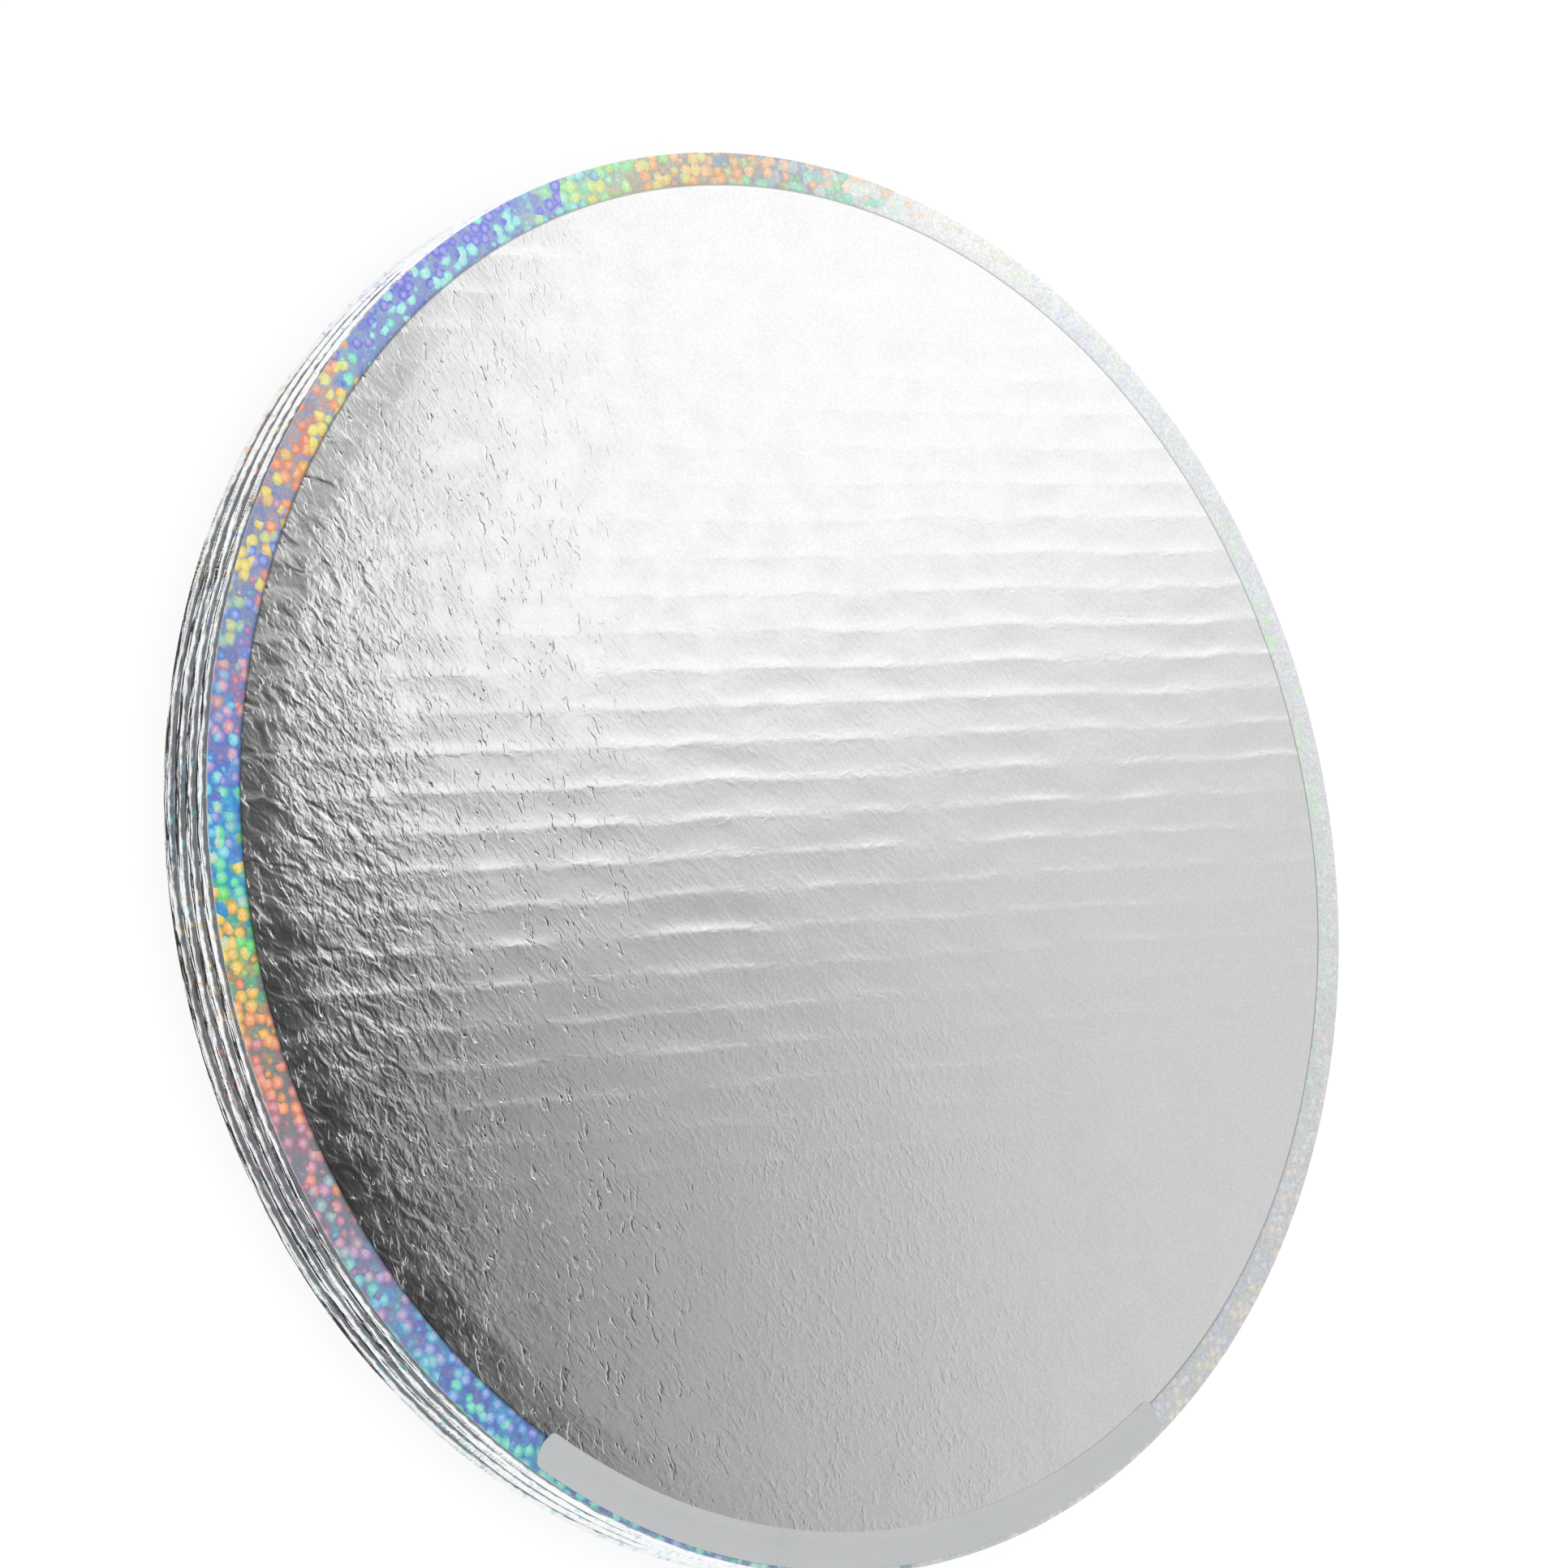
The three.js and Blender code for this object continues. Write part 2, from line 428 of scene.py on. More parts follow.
def paper_crease(tree, place, measures, kind):
    """The height of one kind of crease in millimetres."""
    length, width, height, lie, low, high, fades = PAPER_CREASES[kind]
    turned = add_node(tree, "ShaderNodeMapping", {
        "Vector": place, "Rotation": (0, 0, math.radians(lie)), "Scale": (length, width, 1.0),
    }, vector_type="TEXTURE")
    grain = add_node(tree, "ShaderNodeTexNoise", {
        "Vector": turned, "Scale": 1.0, "Detail": 1.0, "Roughness": 0.4, "Distortion": 0.8,
    })
    crease = add_node(tree, "ShaderNodeMapRange", {
        "Value": grain, "From Min": low, "From Max": high, "To Max": height,
    }, interpolation_type="SMOOTHSTEP")
    for measure, start, end, weak, strong in fades:
        strength = add_node(tree, "ShaderNodeMapRange", {
            "Value": measures[measure], "From Min": start, "From Max": end, "To Min": weak, "To Max": strong,
        }, interpolation_type="SMOOTHSTEP")
        crease = add_node(tree, "ShaderNodeMath", {0: crease, 1: strength}, operation="MULTIPLY")
    return crease


def paper_measures(tree, place):
    """What the creases go by: the place, the distance from the middle and from a flute tip, and patches."""
    x, y, _ = add_node(tree, "ShaderNodeSeparateXYZ", {0: place}).outputs
    patch_size = 9.0
    patches = add_node(tree, "ShaderNodeTexNoise", {"Vector": place, "Scale": 1 / patch_size, "Detail": 2.0})
    pitches = add_node(tree, "ShaderNodeMath", {0: y, 1: flute_pitch}, operation="DIVIDE")
    to_tip = add_node(tree, "ShaderNodeMath", {0: pitches, 1: 0.5}, operation="PINGPONG")
    return {"x": x, "y": y, "radius": from_middle(tree, place), "patches": patches, "to_tip": to_tip}


def paper_colour(tree, place, radius):
    """Near-white film with faint specks of fibre, and a grey line of painted shade along the cut edge where
    the disc meets the film.
    """
    fibre_size = 0.6
    edge_shade_inner = disc_radius - 0.45
    edge_shade_outer = disc_radius - 0.15
    fibre = add_node(tree, "ShaderNodeTexNoise", {"Vector": place, "Scale": 1 / fibre_size, "Detail": 4.0})
    film = add_node(tree, "ShaderNodeValToRGB", {"Fac": fibre},
                    stops=[(0.3, linear("#ebecec")), (0.7, linear("#f7f7f6"))])
    # Painted shade: the paper turns grey within half a millimetre of its cut edge
    edge_shade = add_node(tree, "ShaderNodeMapRange", {
        "Value": radius, "From Min": edge_shade_inner, "From Max": edge_shade_outer,
    }, interpolation_type="SMOOTHSTEP")
    return add_node(tree, "ShaderNodeMix", {"Factor": edge_shade, "A": film, "B": linear("#b2b4b6")},
                    data_type="RGBA")


def metallised_paper():
    """Aluminium film on paper, rolled on to fluted board: a soft mirror that shows each dent and crease.

    Short slanting streaks crowd the left, where it was rubbed down, and its edge there is crumpled. Sparse
    upright dashes lie beside them and fine upright creases in the lower middle. Thin creases follow the
    flute tips, and a faint twill crosses it all.
    """
    material, tree, out = start_material("metallised_paper_twill")
    place = millimetre_place(tree)
    measures = paper_measures(tree, place)
    creases = [paper_crease(tree, place, measures, kind) for kind in PAPER_CREASES]
    height = creases[0]
    for crease in creases[1:]:
        height = add_node(tree, "ShaderNodeMath", {0: height, 1: crease}, operation="ADD")
    bump = add_node(tree, "ShaderNodeBump", {"Height": height, "Strength": 1.0, "Distance": MM})
    rubbing = add_node(tree, "ShaderNodeMapRange", {
        "Value": measures["patches"], "From Min": 0.3, "From Max": 0.7, "To Min": 0.1, "To Max": 0.14,
    }, interpolation_type="SMOOTHSTEP")
    shader = add_node(tree, "ShaderNodeBsdfPrincipled", {
        "Base Color": paper_colour(tree, place, measures["radius"]), "Metallic": 1.0, "Roughness": rubbing,
        "Normal": bump,
    })
    tree.links.new(shader.outputs[0], out.inputs["Surface"])
    return material


# The film's colours round the rim are painted reflections: the flashes that its diffraction throws back,
# fixed by place, in degrees clockwise from its lowest point. Each line has the ground between the pebbles,
# what pebbles flash near the disc and what they flash near the outer edge.
RIM_PAINTED_REFLECTIONS = [
    (0, "#9aa4b4", "#a6b4d8", "#a9cfc9"),
    (38, "#6f7cc0", "#5a78d8", "#50d0c8"),
    (45, "#6a78c4", "#58a8f0", "#48d8c8"),
    (52, "#8488bc", "#a898d8", "#58b8e8"),
    (58, "#8c8cb0", "#b090d0", "#58d0d0"),
    (68, "#8a8c90", "#e88878", "#c07898"),
    (74, "#868c8c", "#ff9060", "#d87888"),
    (79, "#80908c", "#ffb048", "#ff9850"),
    (83, "#88988c", "#ffc840", "#ffa848"),
    (86, "#78b890", "#60e070", "#ffd040"),
    (89, "#48b0a8", "#48e870", "#f8e050"),
    (92, "#4098d8", "#48e8b0", "#60d8f0"),
    (99, "#6a7cd0", "#6070e8", "#60e0f0"),
    (103, "#8088c0", "#c8a0c8", "#58a0e0"),
    (107, "#8890c0", "#f08078", "#e87890"),
    (111, "#8898c8", "#6888e8", "#68c8c0"),
    (115, "#8c98c0", "#5890e8", "#f0d860"),
    (120, "#98a0c0", "#f88868", "#f0e068"),
    (125, "#a8a4bc", "#ffb048", "#f08058"),
    (131, "#a8b8c8", "#f8f070", "#ffa058"),
    (135, "#98b8d0", "#70f0d8", "#7080e0"),
    (142, "#9aa8d8", "#a0f8f0", "#6870e8"),
    (159, "#a8bcd8", "#98f4f0", "#8088f0"),
    (164, "#c8dcc0", "#d0f8a0", "#90f0c0"),
    (169, "#d0c8b0", "#ffe080", "#b0f090"),
    (175, "#b4b4bc", "#f8b080", "#ffd898"),
    (184, "#a8bcc8", "#98e0b0", "#f0b8a8"),
    (192, "#dce8ea", "#a8e8d8", "#f8d8b8"),
    (198, "#fafafa", "#f0f8f4", "#fcf4ee"),
    (222, "#f4f5fa", "#e6e7f8", "#e8f6f0"),
    (252, "#e4e9e7", "#d2eed6", "#e0dcec"),
    (315, "#c6cccc", "#c4c6d8", "#cfccc6"),
]

# The pebbles in the film, in millimetres, and how far from its own place a pebble takes its colour, in turns
pebble_size = 2.5
pebble_height = 0.02
speckle_size = 0.6
frayed_by = 0.9
farthest_colour = 5 / 360


def film_pebbles(tree, place, speckle):
    """Round pebbles with soft edges, which the speckle of the film frays."""
    fray = add_node(tree, "ShaderNodeVectorMath", {0: speckle.outputs["Color"], "Scale": frayed_by},
                    operation="SCALE")
    frayed = add_node(tree, "ShaderNodeVectorMath", {0: place, 1: fray})
    return add_node(tree, "ShaderNodeTexVoronoi", {
        "Vector": frayed, "Scale": 1 / pebble_size, "Randomness": 0.8,
    }, voronoi_dimensions="2D")


def pebble_flash(tree, place, chance, ramps):
    """The colour that each pebble flashes: one of two, by chance and by how near the outer edge it lies."""
    outward = add_node(tree, "ShaderNodeMapRange", {
        "Value": from_middle(tree, place), "From Min": disc_radius, "From Max": outer_radius,
        "To Min": -0.35, "To Max": 0.35,
    }, interpolation_type="SMOOTHSTEP")
    pick = add_node(tree, "ShaderNodeMath", {0: chance["Red"], 1: outward}, operation="ADD")
    choice = add_node(tree, "ShaderNodeMapRange", {"Value": pick, "From Min": 0.45, "From Max": 0.55},
                      interpolation_type="SMOOTHSTEP")
    return add_node(tree, "ShaderNodeMix", {"Factor": choice, "A": ramps[1], "B": ramps[2]}, data_type="RGBA")


def film_ground(tree, place, ramps):
    """The film between the pebbles, which takes on some of the flash in drifts."""
    drift_size = 3.0
    drift = add_node(tree, "ShaderNodeTexNoise", {"Vector": place, "Scale": 1 / drift_size, "Detail": 2.0})
    tinge = add_node(tree, "ShaderNodeMapRange", {
        "Value": drift, "From Min": 0.45, "From Max": 0.65, "To Max": 0.35,
    }, interpolation_type="SMOOTHSTEP")
    return add_node(tree, "ShaderNodeMix", {"Factor": tinge, "A": ramps[0], "B": ramps[2]}, data_type="RGBA")


def film_colours(tree, place, turn):
    """The pebbled film's colour, what its pebbles flash, and how far a point is from a pebble's middle.

    Pebbles differ in size, and each has a painted highlight in its middle.
    """
    speckle = add_node(tree, "ShaderNodeTexNoise", {
        "Vector": place, "Scale": 1 / speckle_size, "Detail": 2.0,
    })
    pebble = film_pebbles(tree, place, speckle)
    middle = pebble.outputs["Distance"]
    chance = add_node(tree, "ShaderNodeSeparateColor", {0: pebble.outputs["Color"]}).outputs

    # The colours at the place round the rim that the pebble takes them from
    borrowed = add_node(tree, "ShaderNodeMath", {
        0: chance["Blue"], 1: 2 * farthest_colour, 2: -farthest_colour,
    }, operation="MULTIPLY_ADD")
    where = add_node(tree, "ShaderNodeMath", {0: turn, 1: borrowed}, operation="ADD")
    # Painted reflection: three ramps read the film's flashes from the table by place round the rim
    ramps = []
    for column in (1, 2, 3):
        stops = [(line[0] / 360, linear(line[column])) for line in RIM_PAINTED_REFLECTIONS]
        ramps.append(add_node(tree, "ShaderNodeValToRGB", {"Fac": where}, stops=stops))
    flash = pebble_flash(tree, place, chance, ramps)

    # How deep inside a pebble a point lies, by the pebble's size
    size = add_node(tree, "ShaderNodeMapRange", {
        "Value": chance["Green"], "From Min": 0.05, "From Max": 0.45, "To Min": 0.15, "To Max": 0.66,
    }, interpolation_type="SMOOTHSTEP")
    inside = add_node(tree, "ShaderNodeMath", {0: size, 1: middle}, operation="SUBTRACT")
    # Painted highlight: each pebble is mixed towards a warm white in its middle
    painted_highlight = add_node(tree, "ShaderNodeMapRange", {
        "Value": inside, "From Min": 0.2, "From Max": 0.55, "To Min": 0.05, "To Max": 0.35,
    }, interpolation_type="SMOOTHSTEP")
    pale = add_node(tree, "ShaderNodeMix", {"Factor": painted_highlight, "A": flash, "B": linear("#fff8e8")},
                    data_type="RGBA")
    cover = add_node(tree, "ShaderNodeMapRange", {"Value": inside, "From Max": 0.26},
                     interpolation_type="SMOOTHSTEP")
    ground = film_ground(tree, place, ramps)
    mixed = add_node(tree, "ShaderNodeMix", {"Factor": cover, "A": ground, "B": pale}, data_type="RGBA")
    grain = add_node(tree, "ShaderNodeMapRange", {
        "Value": speckle, "From Min": 0.25, "From Max": 0.75, "To Min": 0.88, "To Max": 1.12,
    }, interpolation_type="SMOOTHSTEP")
    lit = add_node(tree, "ShaderNodeVectorMath", {0: mixed, "Scale": grain}, operation="SCALE")
    return lit, flash, middle


def drawn_film_height(tree, turn, height):
    """The crazing of the film where it was drawn round the wall, in millimetres of height.

    Short shallow strokes slant across long pleats that run round the wall. The real ones are finer.
    """
    rim_length = 2 * math.pi * outer_radius
    stroke_height = 0.07
    pleat_height = 0.25
    around = add_node(tree, "ShaderNodeMath", {0: turn, 1: rim_length}, operation="MULTIPLY")
    place = add_node(tree, "ShaderNodeCombineXYZ", {"X": around, "Y": height})
    slanted = add_node(tree, "ShaderNodeMapping", {
        "Vector": place, "Rotation": (0, 0, math.radians(12)), "Scale": (0.6, 1.5, 1.0),
    }, vector_type="TEXTURE")
    strokes = add_node(tree, "ShaderNodeTexNoise", {"Vector": slanted, "Scale": 1.0, "Detail": 2.0})
    long = add_node(tree, "ShaderNodeMapping", {"Vector": place, "Scale": (12.0, 0.8, 1.0)},
                    vector_type="TEXTURE")
    pleats = add_node(tree, "ShaderNodeTexNoise", {"Vector": long, "Scale": 1.0, "Detail": 2.0})
    low = add_node(tree, "ShaderNodeMath", {0: strokes, 1: stroke_height}, operation="MULTIPLY")
    return add_node(tree, "ShaderNodeMath", {0: pleats, 1: pleat_height, 2: low}, operation="MULTIPLY_ADD")


def drawn_film_colour(tree, place, height, flash):
    """The drawn film's colour: bright silver on the ridges, painted grey shade in the grooves, with flecks of
    the painted flash colours.
    """
    groove_shade_jitter_size = 2.2
    groove_shade_jitter = 0.3
    fleck_size = 0.9
    above_foot = add_node(tree, "ShaderNodeMath", {0: height, 1: core_bottom}, operation="SUBTRACT")
    sheets_up = add_node(tree, "ShaderNodeMath", {0: above_foot, 1: sheet_thickness}, operation="DIVIDE")
    to_ridge = add_node(tree, "ShaderNodeMath", {0: sheets_up, 1: 0.5}, operation="PINGPONG")
    groove_shade_noise = add_node(tree, "ShaderNodeTexNoise", {"Vector": place, "Scale": 1 / groove_shade_jitter_size, "Detail": 2.0})
    off_ridge = add_node(tree, "ShaderNodeMath", {0: groove_shade_noise, 1: groove_shade_jitter, 2: to_ridge}, operation="MULTIPLY_ADD")
    # Painted shade: the grooves between the ridges are painted dark grey, with noise breaking the edge of
    # each band
    painted_groove_shade = add_node(tree, "ShaderNodeMapRange", {"Value": off_ridge, "From Min": 0.37, "From Max": 0.53},
                    interpolation_type="SMOOTHSTEP")
    silver = add_node(tree, "ShaderNodeMix", {"Factor": painted_groove_shade, "A": linear("#f4f5f6"), "B": linear("#6c7074")},
                      data_type="RGBA")
    fleck = add_node(tree, "ShaderNodeTexVoronoi", {"Vector": place, "Scale": 1 / fleck_size})
    chance = add_node(tree, "ShaderNodeSeparateColor", {0: fleck.outputs["Color"]}).outputs
    fleck_shown = add_node(tree, "ShaderNodeMapRange", {
        "Value": chance["Blue"], "From Min": 0.8, "To Max": 0.4,
    }, interpolation_type="SMOOTHSTEP")
    return add_node(tree, "ShaderNodeMix", {"Factor": fleck_shown, "A": silver, "B": flash}, data_type="RGBA")


def flat_film(tree, height):
    """1 on the rim and the back, where the film lies flat, and 0 on the wall between foot and shoulder."""
    top = add_node(tree, "ShaderNodeMapRange", {
        "Value": height, "From Min": ring_top - 0.3, "From Max": ring_top - 0.1,
    }, interpolation_type="SMOOTHSTEP")
    foot = add_node(tree, "ShaderNodeMapRange", {"Value": height, "From Min": 0.2, "From Max": 0.05},
                    interpolation_type="SMOOTHSTEP")
    return add_node(tree, "ShaderNodeMath", {0: top, 1: foot}, operation="ADD")


def colour_source(tree, place, turn, height):
    """Which of the rim's colours each place takes: in order round the rim, in slow drifts on the back."""
    cloud_size = 60.0
    clouds = add_node(tree, "ShaderNodeTexNoise", {"Vector": place, "Scale": 1 / cloud_size, "Detail": 2.0})
    pale_part = add_node(tree, "ShaderNodeMapRange", {
        "Value": clouds, "From Min": 0.3, "From Max": 0.7, "To Min": 0.58, "To Max": 0.9,
    }, interpolation_type="SMOOTHSTEP")
    above_back = add_node(tree, "ShaderNodeMapRange", {"Value": height, "From Min": 0.1, "From Max": 0.3},
                          interpolation_type="SMOOTHSTEP")
    return add_node(tree, "ShaderNodeMix", {"Factor": above_back, "A": pale_part, "B": turn},
                    data_type="FLOAT")


def holographic_film():
    """Holographic aluminium film, hammered into pebbles 2 to 3 mm wide: each flashes a clean colour, a
    painted reflection fixed by place round the rim.

    On the wall the film is drawn tight and finely crazed, so only flecks of colour are left in the silver.
    """
    material, tree, out = start_material("holographic_film_pebbled")
    place = millimetre_place(tree)
    x, y, height = add_node(tree, "ShaderNodeSeparateXYZ", {0: place}).outputs
    angle = add_node(tree, "ShaderNodeMath", {0: x, 1: y}, operation="ARCTAN2")
    turn = add_node(tree, "ShaderNodeMath", {0: angle, 1: 1 / (2 * math.pi), 2: 0.5},
                    operation="MULTIPLY_ADD")
    pebbled, flash, middle = film_colours(tree, place, colour_source(tree, place, turn, height))
    drawn = drawn_film_colour(tree, place, height, flash)
    flat = flat_film(tree, height)
    colour = add_node(tree, "ShaderNodeMix", {"Factor": flat, "A": drawn, "B": pebbled}, data_type="RGBA")

    # The flat film is a pearly sheen over its colours, and the drawn film a bright metal
    metal = add_node(tree, "ShaderNodeMapRange", {"Value": flat, "To Min": 1.0, "To Max": 0.15},
                     interpolation_type="SMOOTHSTEP")
    rough = add_node(tree, "ShaderNodeMapRange", {"Value": flat, "To Min": 0.15, "To Max": 0.35},
                     interpolation_type="SMOOTHSTEP")
    dome = add_node(tree, "ShaderNodeMapRange", {
        "Value": middle, "From Max": 0.6, "To Min": pebble_height, "To Max": 0.0,
    }, interpolation_type="SMOOTHSTEP")
    relief = add_node(tree, "ShaderNodeMix", {
        "Factor": flat, "A": drawn_film_height(tree, turn, height), "B": dome,
    }, data_type="FLOAT")
    bump = add_node(tree, "ShaderNodeBump", {"Height": relief, "Strength": 1.0, "Distance": MM})
    shader = add_node(tree, "ShaderNodeBsdfPrincipled", {
        "Base Color": colour, "Metallic": metal, "Roughness": rough, "Normal": bump,
    })
    tree.links.new(shader.outputs[0], out.inputs["Surface"])
    return material


def label_paper():
    """Satin label paper in pale grey, varnished smooth, so it has a soft even sheen and a faint grain."""
    grain_size = 0.5
    cloud_size = 12.0
    grain_height = 0.01
    material, tree, out = start_material("label_paper_satin")
    place = millimetre_place(tree)
    grain = add_node(tree, "ShaderNodeTexNoise", {"Vector": place, "Scale": 1 / grain_size, "Detail": 4.0})
    cloud = add_node(tree, "ShaderNodeTexNoise", {"Vector": place, "Scale": 1 / cloud_size, "Detail": 2.0})
    mixed = add_node(tree, "ShaderNodeMath", {0: grain, 1: cloud}, operation="ADD")
    tone = add_node(tree, "ShaderNodeValToRGB", {"Fac": mixed},
                    stops=[(0.0, linear("#aeb1b2")), (1.0, linear("#bfc1c2"))])
    bump = add_node(tree, "ShaderNodeBump", {"Height": mixed, "Strength": 1.0, "Distance": grain_height * MM})
    shader = add_node(tree, "ShaderNodeBsdfPrincipled", {
        "Base Color": tone, "Roughness": 0.42, "Normal": bump,
    })
    tree.links.new(shader.outputs[0], out.inputs["Surface"])
    return material


def kraft_board():
    """Brown kraft board, machine-made and uncoated: matt, with darker fibres that lie along the sheet."""
    fibre_width = 0.8
    fibre_height = 0.05
    material, tree, out = start_material("kraft_board")
    place = millimetre_place(tree)
    lay = add_node(tree, "ShaderNodeMapping", {"Vector": place, "Scale": (0.2, 1.0, 1.0)})
    fibre = add_node(tree, "ShaderNodeTexNoise", {"Vector": lay, "Scale": 1 / fibre_width, "Detail": 6.0})
    tone = add_node(tree, "ShaderNodeValToRGB", {"Fac": fibre},
                    stops=[(0.3, linear("#9a774e")), (0.7, linear("#b8946a"))])
    bump = add_node(tree, "ShaderNodeBump", {"Height": fibre, "Strength": 1.0, "Distance": fibre_height * MM})
    shader = add_node(tree, "ShaderNodeBsdfPrincipled", {
        "Base Color": tone, "Roughness": 0.9, "Normal": bump,
    })
    tree.links.new(shader.outputs[0], out.inputs["Surface"])
    return material


def floor_paper():
    """A white paper floor that looks white to the eye and in the foil, and keeps a soft shadow."""
    matt_grey = (0.42, 0.42, 0.42, 1.0)
    white = (1.0, 1.0, 1.0, 1.0)
    glow_strength = 0.66
    material, tree, out = start_material("floor_white_paper")
    path = add_node(tree, "ShaderNodeLightPath").outputs
    seen = add_node(tree, "ShaderNodeMath", {0: path["Is Camera Ray"], 1: path["Is Glossy Ray"]},
                    operation="MAXIMUM")
    seen = add_node(tree, "ShaderNodeMath", {0: seen, 1: path["Is Transmission Ray"]}, operation="MAXIMUM")
    matt = add_node(tree, "ShaderNodeBsdfDiffuse", {"Color": matt_grey})
    glow = add_node(tree, "ShaderNodeEmission", {"Color": white, "Strength": glow_strength})
    both = add_node(tree, "ShaderNodeAddShader", {0: matt, 1: glow})
    shown = add_node(tree, "ShaderNodeMixShader", {0: seen, 1: matt, 2: both})
    tree.links.new(shown.outputs[0], out.inputs["Surface"])
    return material


# Studio

# How bright the parts of the studio are. White paper in full light is 1.
horizon_level = 1.0
low_sweep_level = 0.7
high_sweep_level = 0.4
panel_level = 1.12
left_level = 1.05
low_card_level = 0.03
far_card_level = 0.5
other_light_level = 1.0

# How much the panel's edge leans from upright, and how the dark card's lower edge rises towards the far end
panel_lean = 0.35
card_rise = 0.045


def grey_sweep(tree, far, up):
    """The right of the studio: a sweep that gets darker upwards, and a white panel beyond the board's top."""
    horizon = add_node(tree, "ShaderNodeMapRange", {
        "Value": up, "From Max": 0.5, "To Min": horizon_level, "To Max": low_sweep_level,
    }, interpolation_type="SMOOTHSTEP")
    sweep = add_node(tree, "ShaderNodeMapRange", {
        "Value": up, "From Min": 0.735, "From Max": 0.815, "To Min": horizon, "To Max": high_sweep_level,
    }, interpolation_type="SMOOTHSTEP")
    beyond = add_node(tree, "ShaderNodeMath", {0: up, 1: panel_lean, 2: far}, operation="MULTIPLY_ADD")
    panel = add_node(tree, "ShaderNodeMapRange", {"Value": beyond, "From Min": 0.341, "From Max": 0.409},
                     interpolation_type="SMOOTHSTEP")
    return add_node(tree, "ShaderNodeMix", {"Factor": panel, "A": sweep, "B": panel_level}, data_type="FLOAT")


def card_over_sweep(tree, far, up):
    """Where the dark card above the sweep shows. Its lower edge rises to the far end and dips again there."""
    slope = add_node(tree, "ShaderNodeMath", {0: far, 1: -card_rise, 2: up}, operation="MULTIPLY_ADD")
    dip = add_node(tree, "ShaderNodeMapRange", {
        "Value": far, "From Min": 0.13, "From Max": 0.2, "To Max": 0.03,
    }, interpolation_type="SMOOTHSTEP")
    tilt = add_node(tree, "ShaderNodeMath", {0: slope, 1: dip}, operation="ADD")
    low_edge = add_node(tree, "ShaderNodeMapRange", {"Value": tilt, "From Min": 0.815, "From Max": 0.824},
                        interpolation_type="SMOOTHSTEP")
    high_edge = add_node(tree, "ShaderNodeMapRange", {"Value": up, "From Min": 0.96, "From Max": 0.92},
                         interpolation_type="SMOOTHSTEP")
    return add_node(tree, "ShaderNodeMath", {0: low_edge, 1: high_edge}, operation="MULTIPLY")


def card_brightness(tree, far):
    """The dark card's brightness: nearly black, and grey at its far end."""
    near = add_node(tree, "ShaderNodeMapRange", {
        "Value": far, "From Min": 0.02, "From Max": 0.12, "To Min": 0.025, "To Max": 0.07,
    }, interpolation_type="SMOOTHSTEP")
    far_end = add_node(tree, "ShaderNodeMapRange", {"Value": far, "From Min": 0.12, "From Max": 0.2},
                       interpolation_type="SMOOTHSTEP")
    return add_node(tree, "ShaderNodeMix", {"Factor": far_end, "A": near, "B": far_card_level},
                    data_type="FLOAT")


def left_of_studio(tree, side, far, up):
    """The left of the studio: white, with a dark card that stands on the floor."""
    edges = [(side, -0.15, -0.4), (up, 0.6, 0.45), (far, 0.9, 0.7)]
    inside = []
    for measure, start, end in edges:
        limits = {"Value": measure, "From Min": start, "From Max": end}
        inside.append(add_node(tree, "ShaderNodeMapRange", limits, interpolation_type="SMOOTHSTEP"))
    card = add_node(tree, "ShaderNodeMath", {0: inside[0], 1: inside[1]}, operation="MULTIPLY")
    card = add_node(tree, "ShaderNodeMath", {0: card, 1: inside[2]}, operation="MULTIPLY")
    return add_node(tree, "ShaderNodeMix", {"Factor": card, "A": left_level, "B": low_card_level},
                    data_type="FLOAT")


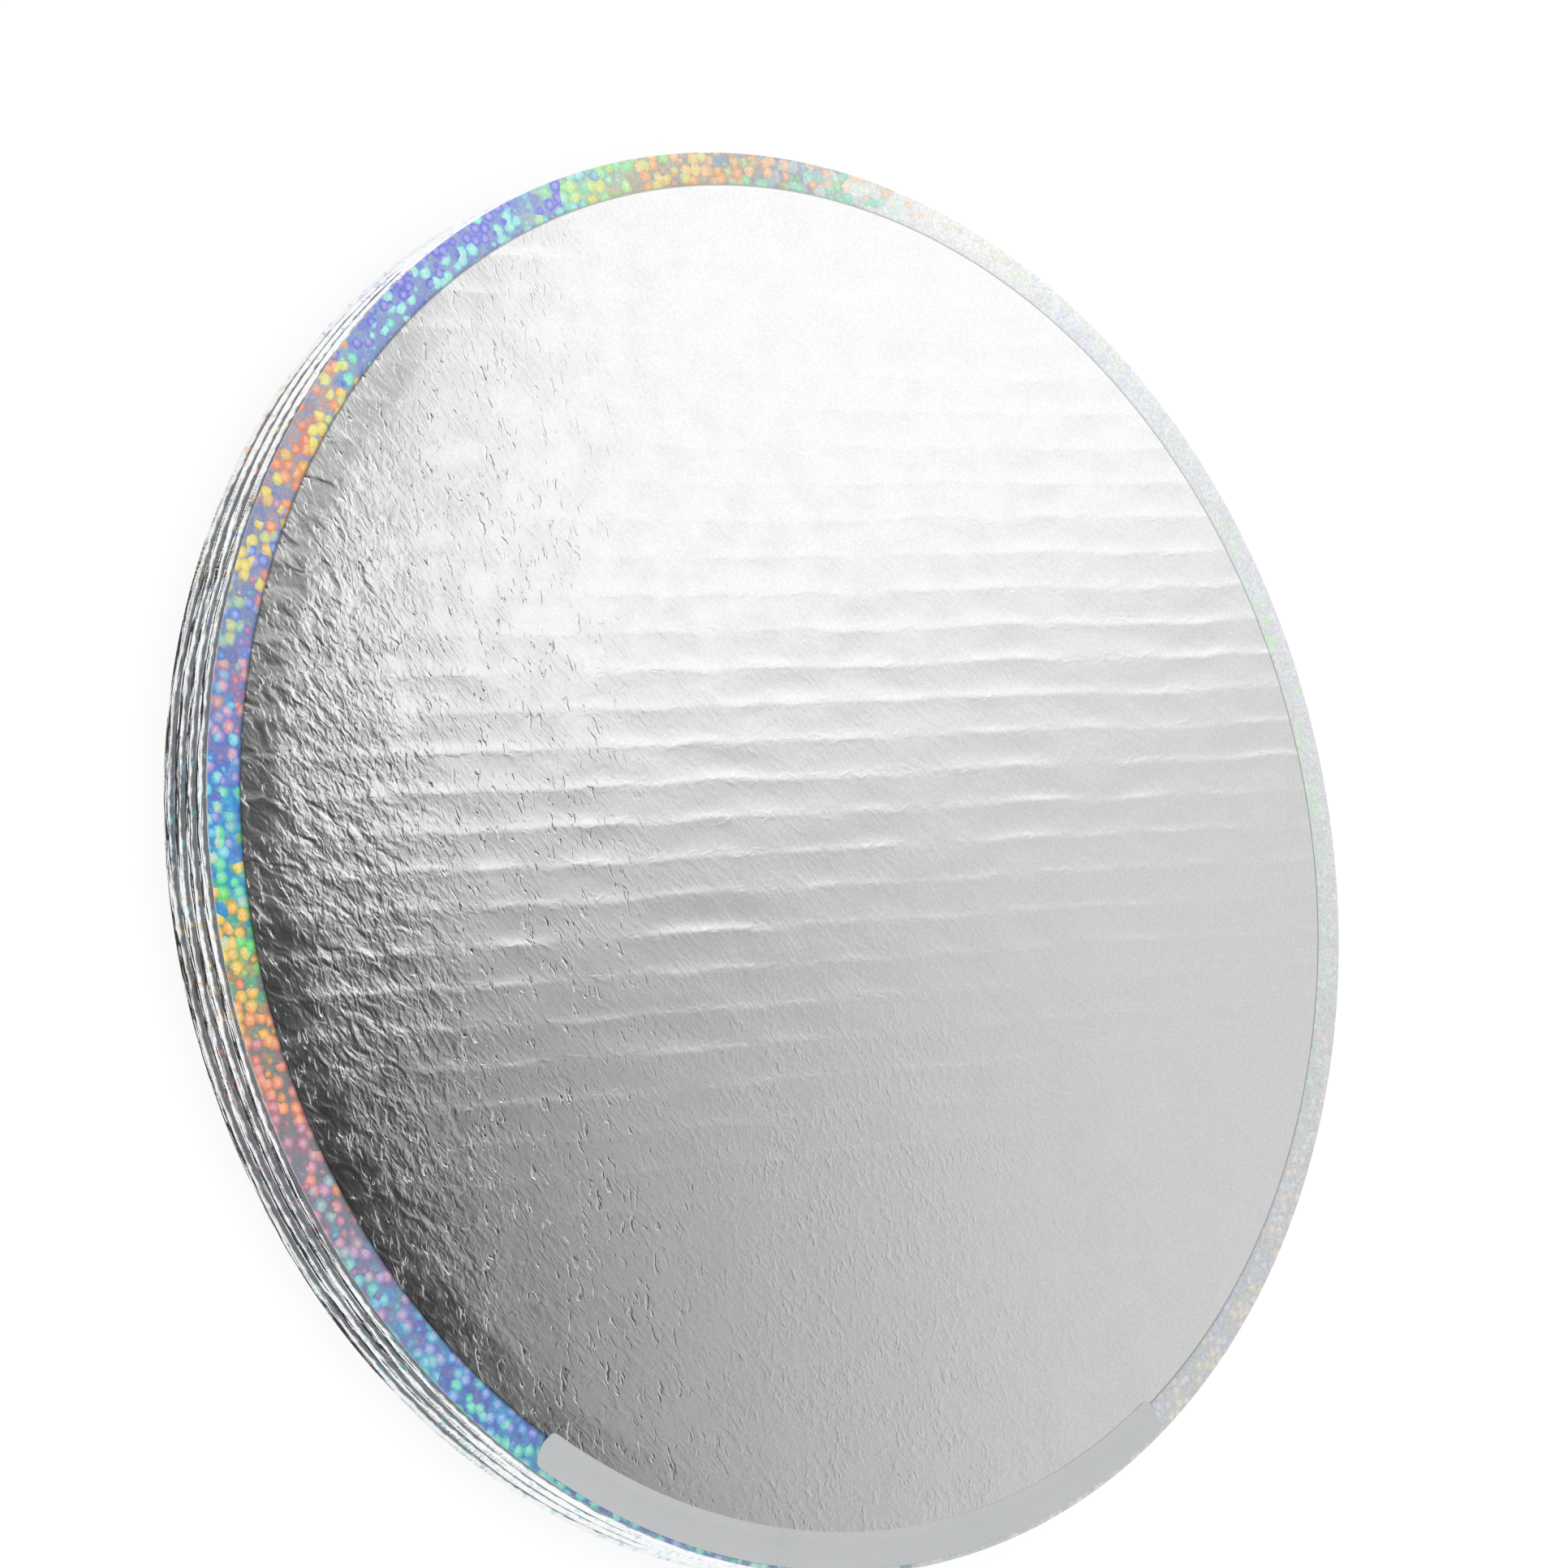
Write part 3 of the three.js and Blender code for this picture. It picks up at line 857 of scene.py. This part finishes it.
def studio_world():
    """The studio that the foil and the silver paper mirror. All other light in it is an even white."""
    world = bpy.data.worlds.new("white_studio")
    bpy.context.scene.world = world
    world.use_nodes = True
    tree = world.node_tree
    tree.nodes.clear()
    towards = add_node(tree, "ShaderNodeTexCoord").outputs["Generated"]
    side, far, up = add_node(tree, "ShaderNodeSeparateXYZ", {0: towards}).outputs
    right = add_node(tree, "ShaderNodeMix", {
        "Factor": card_over_sweep(tree, far, up), "A": grey_sweep(tree, far, up),
        "B": card_brightness(tree, far),
    }, data_type="FLOAT")
    to_left = add_node(tree, "ShaderNodeMapRange", {"Value": side, "From Min": 0.1, "From Max": -0.1},
                       interpolation_type="SMOOTHSTEP")
    studio = add_node(tree, "ShaderNodeMix", {
        "Factor": to_left, "A": right, "B": left_of_studio(tree, side, far, up),
    }, data_type="FLOAT")
    mirrored = add_node(tree, "ShaderNodeLightPath").outputs["Is Glossy Ray"]
    strength = add_node(tree, "ShaderNodeMix", {"Factor": mirrored, "A": other_light_level, "B": studio},
                        data_type="FLOAT")
    white = (1.0, 1.0, 1.0, 1.0)
    background = add_node(tree, "ShaderNodeBackground", {"Color": white, "Strength": strength})
    out = add_node(tree, "ShaderNodeOutputWorld")
    tree.links.new(background.outputs[0], out.inputs["Surface"])


def lay_floor():
    """A wide floor of white paper, a hair below the board so that its back is clear of the floor."""
    floor_gap = 0.05
    half = 3.0
    low = -floor_gap * MM
    mesh = bpy.data.meshes.new("floor")
    corners = [(-half, -half, low), (half, -half, low), (half, half, low), (-half, half, low)]
    mesh.from_pydata(corners, [], [(0, 1, 2, 3)])
    mesh.materials.append(floor_paper())
    floor = bpy.data.objects.new("floor", mesh)
    bpy.context.scene.collection.objects.link(floor)


def place_camera():
    """The photograph's camera: it looks down on the board from the left and is turned on its side."""
    azimuth = math.radians(camera_azimuth)
    elevation = math.radians(camera_elevation)
    level = math.cos(elevation)
    back = Vector((math.sin(azimuth) * level, -math.cos(azimuth) * level, math.sin(elevation)))
    aim = Vector((aim_x, aim_y, ring_top)) * MM
    camera = bpy.data.objects.new("camera", bpy.data.cameras.new("camera"))
    camera.data.lens = camera_lens
    camera.data.sensor_width = camera_sensor
    roll = Matrix.Rotation(math.radians(camera_roll), 3, "Z")
    turn = (-back).to_track_quat("-Z", "Y").to_matrix() @ roll
    camera.matrix_world = Matrix.Translation(aim + back * camera_distance * MM) @ turn.to_4x4()
    bpy.context.scene.collection.objects.link(camera)
    bpy.context.scene.camera = camera


place_camera()
bpy.context.scene.view_settings.view_transform = "Standard"
studio_world()
lay_floor()

finish_piece("disc_of_silver_paper", face_disc_mesh(), metallised_paper(), "silver_paper", "face_disc")
finish_piece("foil_covering", foil_wrap_mesh(), holographic_film(), "holographic_foil", "foil_wrap")
finish_piece("bare_sticker", sticker_mesh(), label_paper(), "sticker_paper", "sticker")

board = kraft_board()
for number in range(1, sheet_count + 1):
    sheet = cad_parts[f"core_sheet_{number}"]
    sheet.data.materials.clear()
    sheet.data.materials.append(board)
